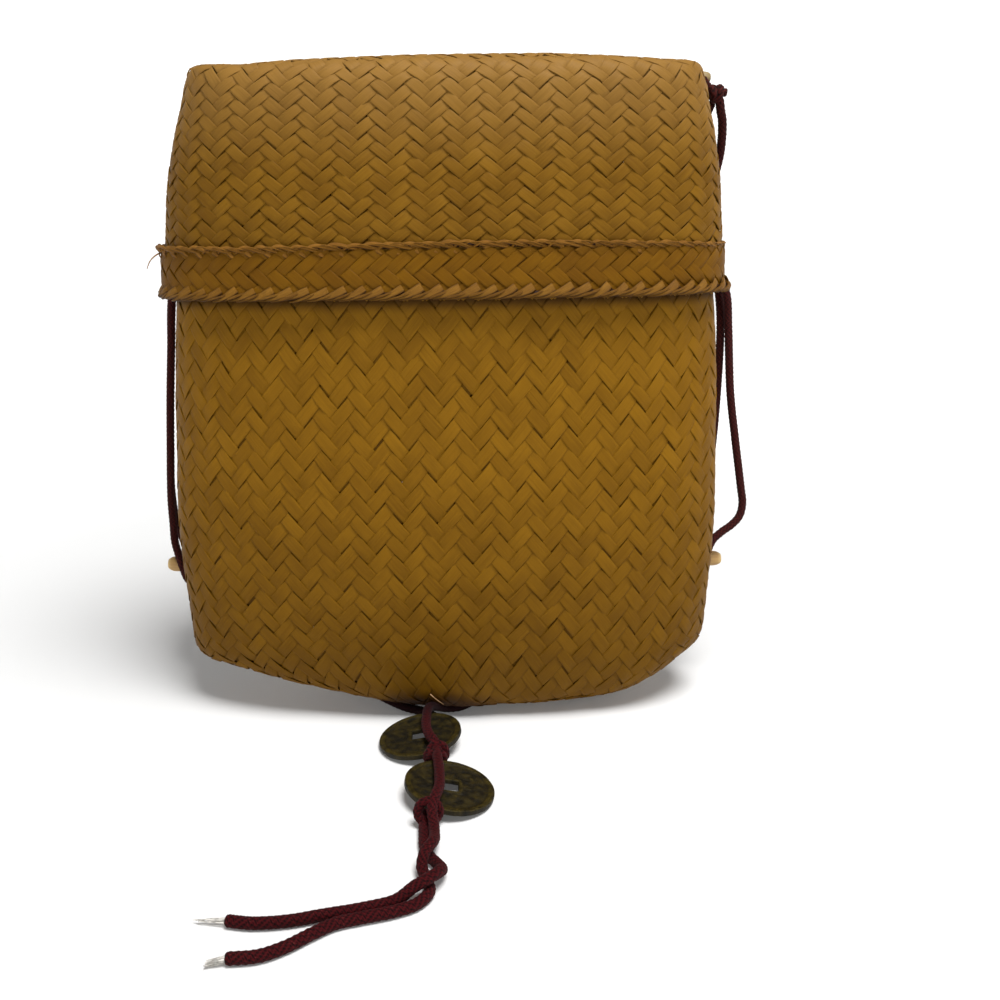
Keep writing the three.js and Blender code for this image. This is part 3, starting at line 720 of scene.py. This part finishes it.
def weave_patch(bundle, rings, net, falling, outward, step):
    """Strips of one direction over the flat patch that the given rings close."""
    cols = rings[0].shape[0]
    middle = rings[-1].mean(0)
    grid = np.concatenate([np.concatenate(rings), middle[None]])
    faces = []
    last = (len(rings) - 1) * cols
    for first in range(0, last, cols):
        after = first + cols
        for i in range(cols):
            j = (i + 1) % cols
            faces.append((first + i, first + j, after + j, after + i))
    faces += [(last + i, last + (i + 1) % cols, len(grid) - 1) for i in range(cols)]
    tree = BVHTree.FromPolygons([Vector(p) for p in grid], faces)
    reach = np.abs(rings[0][:, :2]).max(0)

    def drop(xy):
        """Places and normals of the patch straight inwards of points, and which of them hit it."""
        inward = Vector((0, 0, -outward))
        hits = [tree.ray_cast(Vector((x, y, outward * FAR_OFF)), inward) for x, y in xy]
        found = np.array([h[0] is not None for h in hits])
        place = np.array([h[0] if h[0] is not None else (0, 0, 0) for h in hits])
        normal = np.array([h[1] if h[1] is not None else (0, 0, outward) for h in hits], float)
        normal *= np.where(normal[:, 2] * outward < 0, -1.0, 1.0)[:, None]
        return place, normal, found

    span = int(reach.sum() / step) + 2
    for k in range(-span, span):
        fine = np.arange(-2 * span, 2 * span, 0.25)
        p, q = (np.full_like(fine, k + 0.5), fine) if falling else (fine, np.full_like(fine, k + 0.5))
        xy = np.column_stack([(p + q) / 2, (p - q) / 2]) * step
        held = drop(xy)[2]
        if held.sum() < 6:
            continue
        inside = fine[held]
        places, lift = strip_places(inside[0], inside[-1], -k if falling else 2 - k)
        p, q = (k + 0.5, places) if falling else (places, k + 0.5)
        place, normal, found = drop(np.column_stack([(p + q) / 2, (p - q) / 2]) * step)
        place, normal, lift = place[found], normal[found], lift[found]
        if len(place) < 3:
            continue
        normal = unit(normal)
        along = unit(np.gradient(place, axis=0))
        side = unit(np.cross(normal, along)) * (0.5 * net["fill"] * step / math.sqrt(2))
        lay_strip(bundle, place - side, place + side, normal, lift, net, rng.random())


def smooth_route(route, spacing):
    """Points at even steps along a smooth curve through the route."""
    p = np.array(route, float)
    p = np.concatenate([[2 * p[0] - p[1]], p, [2 * p[-1] - p[-2]]])
    fine = []
    for k in range(1, len(p) - 2):
        x0, x1, x2, x3 = p[k - 1 : k + 3]
        d0, d1, d2 = (np.linalg.norm(b - a) ** 0.5 for a, b in ((x0, x1), (x1, x2), (x2, x3)))
        t1 = ((x1 - x0) / d0 - (x2 - x0) / (d0 + d1) + (x2 - x1) / d1) * d1
        t2 = ((x2 - x1) / d1 - (x3 - x1) / (d1 + d2) + (x3 - x2) / d2) * d1
        t = np.linspace(0, 1, 41)[:-1, None]
        fine.append(x1 + t1 * t + (3 * (x2 - x1) - 2 * t1 - t2) * t**2 + (2 * (x1 - x2) + t1 + t2) * t**3)
    fine = np.concatenate([*fine, p[-2:-1]])
    length = lengths(fine)
    want = np.linspace(0, length[-1], max(3, int(round(length[-1] / spacing)) + 1))
    return np.stack([np.interp(want, length, column) for column in fine.T], 1), length[-1]


def frames(points, closed=False):
    """Side and up directions along a line, turned as little as they can be."""
    if closed:
        along = unit(np.roll(points, -1, 0) - np.roll(points, 1, 0))
    else:
        along = unit(np.gradient(points, axis=0))
    side = np.empty_like(points)
    side[0] = unit(np.cross(along[0], (0, 0, 1) if abs(along[0][2]) < 0.9 else (1, 0, 0)))
    for k in range(1, len(points)):
        side[k] = unit(side[k - 1] - along[k] * (side[k - 1] @ along[k]))
    return side, unit(np.cross(along, side))


def braided(bundle, points, diameter, sides):
    """A round braided cord along a line: two sets of strands that go over and under each other."""
    side, up = frames(points)
    along = lengths(points)[:, None]
    angle = angles(sides)[None, :]
    turn, wind = angle / (2 * np.pi), along / (CORD_LAY * diameter)
    p, q = CORD_STRANDS * (turn + wind), CORD_STRANDS * (turn - wind)
    over = (np.floor(p) + np.floor(q)) % 2 < 1
    ridge = np.where(over, np.sin(np.pi * (p % 1)), np.sin(np.pi * (q % 1)))
    rest = np.minimum(along, along[-1] - along) / (0.25 * diameter)
    ends = np.sqrt(1 - (1 - np.clip(rest, 0, 1)) ** 2 * 0.5)
    radius = diameter / 2 * (0.83 + 0.21 * ridge) * ends
    out = np.cos(angle)[..., None] * side[:, None] + np.sin(angle)[..., None] * up[:, None]
    rings = points[:, None] + radius[..., None] * out
    bundle.add(rings, along=along, across=np.abs(angle / np.pi - 1), lift=ridge)


def cord_piece(name, route, diameter, finish):
    """One free cord along its route."""
    points, length = smooth_route(route, CORD_STEP)
    bundle = Bundle()
    braided(bundle, points, diameter, CORD_SIDES)
    piece = bundle.piece(name + "_cord", finish, "cord", [name])
    line = smooth_route(route, ROUTE_STEP)[0] * MM
    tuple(line[0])


def knot_piece(name, turns, diameter, finish):
    """A knot of wound cord. Each turn is a list of points."""
    bundle = Bundle()
    for turn in turns:
        braided(bundle, smooth_route(turn, KNOT_STEP)[0], diameter, KNOT_SIDES)
    return bundle.piece(name + "_wound", finish, "cord", [name])


def coil(centre, axis, side, radii, turns, advance, start):
    """Points of a winding about an axis."""
    axis, side = unit(np.array(axis, float)), unit(np.array(side, float))
    up = np.cross(axis, side)
    t = np.linspace(0, 1, int(turns * 12) + 1)[:, None]
    angle = start + t * turns * 2 * np.pi
    line = np.array(centre) + axis * (t - 0.5) * advance
    return line + side * radii[0] * np.cos(angle) + up * radii[1] * np.sin(angle)


def make_camera():
    data = bpy.data.cameras.new("camera")
    data.sensor_width, data.lens, data.shift_x = CAMERA["sensor"], CAMERA["lens"], CAMERA["shift"]
    data.clip_start, data.clip_end = CAMERA["clip"]
    camera = bpy.data.objects.new("camera", data)
    camera.location = CAMERA["place"]
    camera.rotation_euler = (math.radians(CAMERA["pitch"]), 0, 0)
    camera.rotation_euler.rotate_axis("Z", math.radians(CAMERA["roll"]))
    bpy.context.scene.collection.objects.link(camera)
    bpy.context.scene.camera = camera


def make_light(name, place, target, size, power):
    data = bpy.data.lights.new(name, "AREA")
    data.shape, data.size, data.energy = "DISK", size, power
    light = bpy.data.objects.new(name, data)
    light.location = place
    light.rotation_euler = (Vector(target) - Vector(place)).to_track_quat("-Z", "Y").to_euler()
    bpy.context.scene.collection.objects.link(light)


def make_stage():
    """A pale floor that curves up into a low wall all round."""
    flat, bend = FLOOR["flat"], FLOOR["bend"]
    profile = [(0.5, 0), (300, 0), (1200, 0), (flat, 0)]
    for a in np.linspace(0.2, math.pi / 2, 8):
        profile.append((flat + bend * math.sin(a), bend - bend * math.cos(a)))
    profile.append((flat + bend, FLOOR["top"]))
    angle = np.linspace(0, 2 * np.pi, 97)[:-1]
    rings = []
    for r, z in profile:
        height = np.full(len(angle), z - FLOOR["drop"])
        rings.append(np.column_stack([r * np.cos(angle), r * np.sin(angle), height]))
    bundle = Bundle()
    bundle.add(np.array(rings), caps=False)
    bundle.piece("floor", floor_finish("floor"))
    scene = bpy.context.scene
    scene.view_settings.view_transform = "Standard"
    scene.world = bpy.data.worlds.new("studio")
    scene.world.use_nodes = True
    background = scene.world.node_tree.nodes["Background"]
    background.inputs["Color"].default_value = (1, 1, 1, 1)
    background.inputs["Strength"].default_value = WORLD_LIGHT
    make_light("top", **LIGHT)


def make_cords():
    """The two straps and the two tail cords, with their knots, coins and frayed cores."""
    maroon, dark = cord_finish("maroon_cord"), cord_finish("dark_cord")
    cores = make_cores()
    coins = make_coins()
    for name, coils in COIN_KNOTS:
        knot_piece(name, [coil(*row) for row in coils], COIN_KNOT_D, maroon)
    turns = [coil(*row) for row in STRAP_KNOT_COILS]
    strap_knot = knot_piece("strap_knot", [*turns, *STRAP_KNOT_ENDS], STRAP_KNOT_D, dark)
    cord_piece("strap_right", RIGHT_STRAP, STRAP_D, dark)
    cord_piece("strap_left", LEFT_STRAP, STRAP_D, dark)
    cord_piece("tail_low", LOW_TAIL, TAIL_D, maroon)
    cord_piece("tail_high", HIGH_TAIL, TAIL_D, maroon)


def filament(bundle, route, radius, tone):
    """One thin round strand along a route, thinner towards its tip, and never through the floor."""
    points = smooth_route(route, FIBRE_STEP)[0]
    points[:, 2] = np.maximum(points[:, 2], FIBRE_LOWEST)
    side, up = frames(points)
    turn = angles(FIBRE_SIDES)[None, :, None]
    thin = np.linspace(radius, radius * 0.42, len(points))[:, None, None]
    rings = points[:, None] + thin * (np.cos(turn) * side[:, None] + np.sin(turn) * up[:, None])
    along = np.arange(len(points))[:, None] * FIBRE_STEP
    bundle.add(rings, along=along, across=0.0, tone=tone)


def make_cores():
    """The pale filaments that stand out of the two cut cord ends."""
    material = core_finish("pale_core")
    pieces = []
    for name, start, tip, wide, narrow, count in CORES:
        start, tip = np.array(start), np.array(tip)
        bundle = Bundle()
        for _ in range(count):
            angle, r = rng.uniform(0, 2 * np.pi), math.sqrt(rng.random())
            across = np.array([0.1, math.cos(angle), 0.8 * math.sin(angle)])
            reach = rng.uniform(0.75, 1.0)
            route = []
            for t in np.linspace(0, 1, 5):
                spread = across * r * (wide + (narrow - wide) * t)
                route.append(start + (tip - start) * t * reach + spread + rng.normal(0, 0.12, 3) * t)
            filament(bundle, route, CORE_R, rng.random())
        pieces.append(bundle.piece(name + "_strands", material, "core", [name]))
    return pieces


def make_coins():
    """Cast coins: raised rims, a square hole with its own rim, an uneven worn field."""
    material = coin_finish("old_brass")
    field = [(share, COIN["field"]) for share in np.arange(20, 77, 7) / 100]
    top = [*COIN_INNER_RIM, *field, *COIN_OUTER_RIM]
    loop = [(share, z, 1) for share, z in top] + [(share, -z, -1) for share, z in reversed(top)]
    angle = np.linspace(0, 2 * np.pi, 121)[:-1]
    square = COIN["hole"] / np.maximum(np.abs(np.cos(angle)), np.abs(np.sin(angle)))
    pieces = []
    for name, x, y, z, lean in COINS:
        rings, outs, highs = [], [], []
        phases = rng.uniform(0, 2 * np.pi, (len(COIN_RELIEF), 2))
        for share, height, face in loop:
            r = square * (1 - share) + COIN["r"] * share
            relief = 0
            for (a, b), (around, outward) in zip(phases, COIN_RELIEF):
                relief = relief + np.sin(angle * around + a) * np.sin(r * outward + b)
            wear = FIELD_WEAR if 0.16 < share < 0.8 else RIM_WEAR
            h = height + face * (relief / len(COIN_RELIEF)) * wear
            rings.append(np.column_stack([r * np.cos(angle), r * np.sin(angle), h]))
            outs.append(r)
            highs.append(np.clip((np.abs(h) - 0.5) / 0.32, 0, 1))
        c, s = math.cos(math.radians(lean)), math.sin(math.radians(lean))
        turned = np.array(rings)[::-1] @ np.array([(c, 0, s), (0, 1, 0), (-s, 0, c)]).T + (x, y, z)
        out, high = np.array(outs)[::-1], np.array(highs)[::-1]
        bundle = Bundle()
        bundle.add(turned, closed=True, along=angle[None, :], across=out, lift=high)
        pieces.append(bundle.piece(name + "_cast", material, "coin_metal", [name]))
    return pieces


def make_stick(name, size, finish):
    """A bamboo stick with rounded ends, slightly uneven along its length."""
    r, length = size["d"] / 2, size["right"] - size["left"]
    ends = np.array([0, 0.15, 0.5, 1.1, 2.0]) * r / 2.0
    places = np.concatenate([ends, np.linspace(ends[-1], length - ends[-1], 60)[1:-1], length - ends[::-1]])
    rest = np.minimum(places, length - places) / ends[-1]
    shape = np.sqrt(1 - (1 - np.clip(rest, 0, 1)) ** 2 * 0.62)
    angle = angles(STICK_SIDES)[None, :]
    along = places[:, None]
    wave = 1 - 0.035 * np.sin(along / 17 + 2 * angle) ** 2 - 0.02 * np.sin(along / 5 + 3 * angle)
    radius = r * shape[:, None] * wave
    x = np.broadcast_to(size["left"] + along, radius.shape)
    rings = np.stack([x, size["y"] + radius * np.cos(angle), size["z"] + radius * np.sin(angle)], 2)
    bundle = Bundle()
    cut = np.clip(1 - rest[:, None] * 1.6, 0, 1)
    bundle.add(rings, along=along, across=np.abs(angle / np.pi - 1), lift=cut)
    bundle.piece(name + "_split", finish, "stick", [name])


def base_skin():
    """The base's wall from its mouth down, its rolled underside, and the number of rings in the wall."""
    low, *foot = BASE_ROWS[0]
    walls = wall_rings(BASE_ROWS, np.linspace(BASE_ROWS[-1, 0], low, 56))
    shares = np.linspace(0, 1, 31)[1:]
    edge, flat = (BASE_EDGE, 0, BASE_LIFT), (BASE_FLAT, 0)
    roll = roll_rings(foot, low, *edge, *flat, shares, BASE_LEFT_PINCH, FOLD_PINCH)
    rings = sag(walls + roll, UNDERSIDE_SAG, *UNDERSIDE_SAG_SPAN)
    for ring in rings:
        ring[:, 2] = np.maximum(ring[:, 2], 0)
    return Skin(rings, BASE_SWELL), rings, len(walls)


def lid_skin():
    """The lid's wall from its mouth up, its rolled top, and the number of rings in the wall."""
    high, *shoulder = LID_ROWS[-1]
    walls = wall_rings(LID_ROWS, np.linspace(LID_ROWS[0, 0], high, 32))
    shares = np.linspace(0, 1, 21)[1:]
    edge, flat = (LID_EDGE, LID_TOP, -LID_DROP), (LID_FLAT, LID_TOP)
    roll = roll_rings(shoulder, high, *edge, *flat, shares, LID_LEFT_PINCH)
    rings = sag(walls + roll, TOP_SAG, *TOP_SAG_SPAN)
    for ring in rings:
        share = np.clip((ring[:, 2] - LEAN_START) / (LID_TOP - LEAN_START), 0, 1)
        ring[:, 0] += LEFT_LEAN * share * np.clip(-ring[:, 0] / LID_EDGE[0], 0, 1) ** 6
    return Skin(rings, LID_SWELL), rings, len(walls)


def make_base():
    straw = bamboo_finish("base_bamboo", BASE_LOW_SHADE)
    skin, rings, walls = base_skin()
    seam = walls + BASE_SEAM
    low = -skin.rows[seam] - SEAM_OVERLAP
    down = Lifted(skin, -COLUMN_OFFSET, -1)
    for name, falling in (("base_falling_strips", True), ("base_rising_strips", False)):
        bundle = Bundle()
        weave(bundle, down, BASE_NET, falling, low, BASE_MOUTH, loose=bottom_slack, tucked=low)
        weave_patch(bundle, rings[seam - 1 :], BASE_PATCH_NET, falling, -1, BASE_PATCH_STEP)
        bundle.piece(name, straw, "bamboo", ["base_basket"])


def make_splinter():
    """A pale splinter that stands out where the tail cords leave the base."""
    bundle = Bundle()
    filament(bundle, SPLINTER, SPLINTER_R, 0.5)
    bundle.piece("base_splinter", core_finish("pale_splinter"), "bamboo", ["base_basket"])


def bottom_slack(points):
    """How loose the weave is: near the bottom edge, and most of all on the left."""
    low = np.clip((SLACK["height"] - points[:, 2]) / SLACK["fade"], 0, 1)
    return low * np.clip((SLACK["x"] - points[:, 0]) / SLACK["run"], SLACK["least"], SLACK["most"])


def make_lid():
    straw = bamboo_finish("lid_bamboo")
    skin, rings, walls = lid_skin()
    seam = walls + LID_SEAM
    high = skin.rows[seam]
    up = Lifted(skin, COLUMN_OFFSET)
    for name, falling in (("lid_falling_strips", True), ("lid_rising_strips", False)):
        bundle = Bundle()
        weave(bundle, up, LID_NET, falling, LID_MOUTH, high, tucked=high)
        weave_patch(bundle, rings[seam - 1 :], LID_PATCH_NET, falling, 1, LID_PATCH_STEP)
        bundle.piece(name, straw, "bamboo", ["lid"])


def lid_ring(z, out, shift):
    """A level ring round the lid, at a stand-off from it."""
    a, b, n = (np.interp(z, LID_ROWS[:, 0], LID_ROWS[:, k]) for k in (1, 2, 3))
    return level((a + out, b + out, n, shift), z)


def make_band():
    """The folded strip round the lid's mouth, woven in two rows."""
    straw = bamboo_finish("band_bamboo")
    heights = np.linspace(BAND["low"], BAND["high"], 15)
    skin = Skin([lid_ring(z, BAND["out"], BAND["shift"]) for z in heights], BAND_SWELL)
    middle = BAND["middle"]
    bundle = Bundle()
    for falling in (True, False):
        weave(bundle, Lifted(skin, middle), BAND_NET, falling, -middle, skin.rows[-1] - middle, rows=True)
    bundle.piece("band_weave", straw, "bamboo", ["lid_band"])


def edge_skin(z, out, shift, wave):
    """The lid's wall near a plaited edge, read in heights from that edge."""
    rings = [lid_ring(z + h, out, shift) for h in np.linspace(-EDGE_REACH, EDGE_REACH, 9)]
    for ring in rings:
        ring[:, 2] += np.interp(ring[:, 0], *np.array(wave).T)
    return Lifted(Skin(rings, EDGE_SWELL), EDGE_REACH)


def edge_strands(bundle, skin, table, shift, thick, tilt, tone):
    """One strand for each strip of the weave, along a table of run, rise, stand-off and half width."""
    route = smooth_route(table, 0.55)[0]
    ring = angles(STRAND_SIDES)[None, :, None]
    count = LID_NET["count"]
    for k in range(count):
        stretch = (rng.uniform(0.75, 1.15), rng.uniform(0.85, 1.15), 1, rng.uniform(0.8, 1.1))
        run, rise, out, half = (route * stretch).T
        turn = (k + shift + rng.uniform(-0.09, 0.09)) / count + run / LID_GIRTH
        place, normal = skin.at(turn, rise + rng.uniform(-0.15, 0.15))
        line = place + normal * (out + rng.uniform(-0.08, 0.08))[:, None]
        along = unit(np.gradient(line, axis=0))
        up = unit(normal - along * (normal * along).sum(1)[:, None])
        side = unit(np.cross(up, along)) * half[:, None]
        lean = normal * -tilt
        rings = line[:, None] + np.cos(ring) * (side + lean)[:, None] + np.sin(ring) * up[:, None] * thick
        length = np.cumsum(np.linalg.norm(np.gradient(line, axis=0), axis=1))
        shade = tone + 0.4 * rng.random()
        bundle.add(rings, along=length[:, None] + 31 * k, across=np.cos(ring)[..., 0], tone=shade)


def edge_core(bundle, skin, rise, out, tall, deep):
    """A core that shows between the strands, coloured dark all over as painted shade."""
    steps = 2 * LID_NET["count"]
    place, normal = skin.at(np.arange(steps) / steps, np.full(steps, rise))
    core = place + normal * out
    side, up = frames(core, closed=True)
    ring = angles(STRAND_SIDES)[None, :, None]
    rings = core[:, None] + deep * np.cos(ring) * side[:, None] + tall * np.sin(ring) * up[:, None]
    # An across beyond 1 gives the whole core the painted shade colour.
    bundle.add(rings, closed=True, along=0.0, across=1.25, tone=0.0)


def make_rim():
    """The plaited edge: strip ends that lean to the right, and a thin strand under each."""
    skin = edge_skin(*RIM_PLACE, RIM_WAVE)
    bundle = Bundle()
    for strands in RIM_SETS:
        edge_strands(bundle, skin, *strands)
    edge_core(bundle, skin, *RIM_CORE)
    bundle.piece("rim_plait", rope_finish("rim_straw"), "braid", ["lid_rim_braid"])


def make_upper_braid():
    """The thin plaited edge above the band: strands that start over the last one and fall to the right."""
    skin = edge_skin(*BRAID_PLACE, BRAID_WAVE)
    bundle = Bundle()
    for strands in BRAID_SETS:
        edge_strands(bundle, skin, *strands)
    edge_core(bundle, skin, *BRAID_CORE)
    filament(bundle, LOOSE_FIBRE, LOOSE_FIBRE_R, 0.9)
    bundle.piece("upper_twist", rope_finish("braid_straw"), "braid", ["lid_upper_braid"])


make_camera()
make_cords()
make_stage()
make_stick("lower_stick", LOWER_STICK, stick_finish("stick_wood"))
make_stick("upper_stick", UPPER_STICK, stick_finish("grey_stick_wood"))
make_base()
make_splinter()
make_lid()
make_band()
make_rim()
make_upper_braid()
